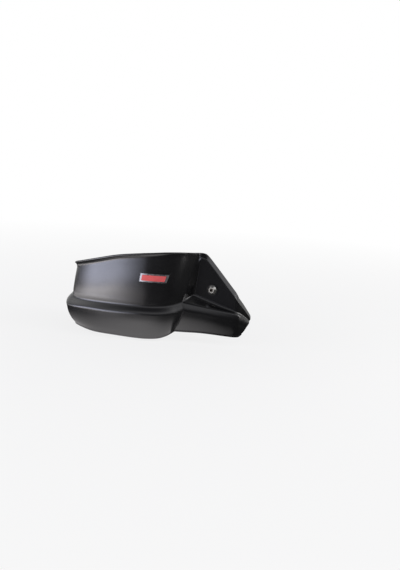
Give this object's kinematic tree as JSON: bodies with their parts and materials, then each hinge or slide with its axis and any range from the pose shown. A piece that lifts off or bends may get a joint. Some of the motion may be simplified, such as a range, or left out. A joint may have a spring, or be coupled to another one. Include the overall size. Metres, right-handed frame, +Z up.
{
  "type": "motorcycle hand guard",
  "caption": "Moulded right-hand motorcycle guard with a flared lip, a stepped shelf, a recessed triangular panel, a handlebar clamp and an expanding bar-end plug.",
  "frame": {"origin": "centre of the clamp bore, on the axis of the handlebar", "axes": "+X along the handlebar towards the middle of the motorcycle, +Y to the rear, +Z up"},
  "size_m": [0.2909, 0.117, 0.1316],
  "materials": {
    "guard_shell": "satin black, fine grain",
    "badge_base": "brushed silver",
    "badge_red": "gloss red",
    "bright_steel": "bright",
    "grommet_rubber": "matte black",
    "plain_steel": "zinc plated",
    "black_bracket": "satin black powder coat",
    "black_clamp": "black anodised look",
    "black_steel": "black oxide",
    "spacer_plastic": "matte black"
  },
  "bodies": {
    "root": {"shell": "guard_shell", "badge_plate": "badge_base", "badge_inlay": "badge_red", "panel_screw": "bright_steel", "panel_grommet": "grommet_rubber", "panel_sleeve": "plain_steel", "panel_washer": "plain_steel", "panel_nut": "plain_steel", "mount_strip": "black_bracket", "clamp_saddle": "black_clamp", "clamp_cap": "black_clamp", "clamp_screw_upper": "black_steel", "clamp_screw_lower": "black_steel", "clamp_washer_upper": "plain_steel", "clamp_washer_lower": "plain_steel", "strip_screw": "black_steel", "strip_washer": "plain_steel", "bar_end_screw": "black_steel", "bar_end_washer": "black_steel", "bar_end_spacer": "spacer_plastic", "expander_sleeve": "grommet_rubber", "expander_nut": "plain_steel"}
  },
  "joints": []
}
